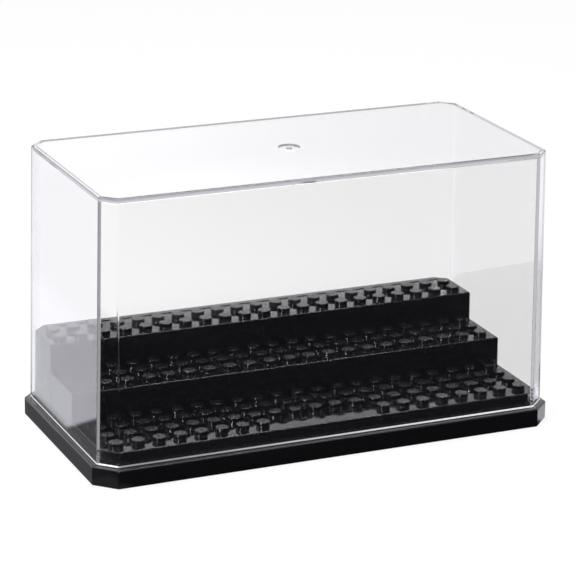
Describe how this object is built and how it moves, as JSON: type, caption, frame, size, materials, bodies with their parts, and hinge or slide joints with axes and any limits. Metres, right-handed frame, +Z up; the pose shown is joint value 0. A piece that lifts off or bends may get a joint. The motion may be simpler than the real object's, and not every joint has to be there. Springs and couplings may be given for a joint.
{
  "type": "tiered minifigure display case",
  "caption": "Low octagonal tray with studded steps that stand side by side in it, closed by a clear lift-off cover with cut corners.",
  "frame": {"origin": "centre of the footprint, on the surface that the base stands on", "axes": "+X along the length to the right, -Y towards the viewer and the lowest step, +Z up"},
  "size_m": [0.1808, 0.09, 0.1048],
  "materials": {
    "black_polystyrene_base": "moulded glossy black",
    "black_polystyrene_step": "moulded glossy black",
    "clear_polystyrene": "polished clear moulding"
  },
  "bodies": {
    "base": {"base": "black_polystyrene_base"},
    "lower_step": {"lower_step": "black_polystyrene_step"},
    "middle_step": {"middle_step": "black_polystyrene_step"},
    "upper_step": {"upper_step": "black_polystyrene_step"},
    "cover": {"cover": "clear_polystyrene"}
  },
  "joints": [
    {"name": "cover_lift", "type": "slide", "parent": "base", "child": "cover", "axis": [0, 0, 1], "range_m": [0, 0.06]},
    {"name": "lower_step_lift", "type": "slide", "parent": "base", "child": "lower_step", "axis": [0, 0, 1], "range_m": [0, 0.015]},
    {"name": "middle_step_lift", "type": "slide", "parent": "base", "child": "middle_step", "axis": [0, 0, 1], "range_m": [0, 0.015]},
    {"name": "upper_step_lift", "type": "slide", "parent": "base", "child": "upper_step", "axis": [0, 0, 1], "range_m": [0, 0.015]}
  ]
}
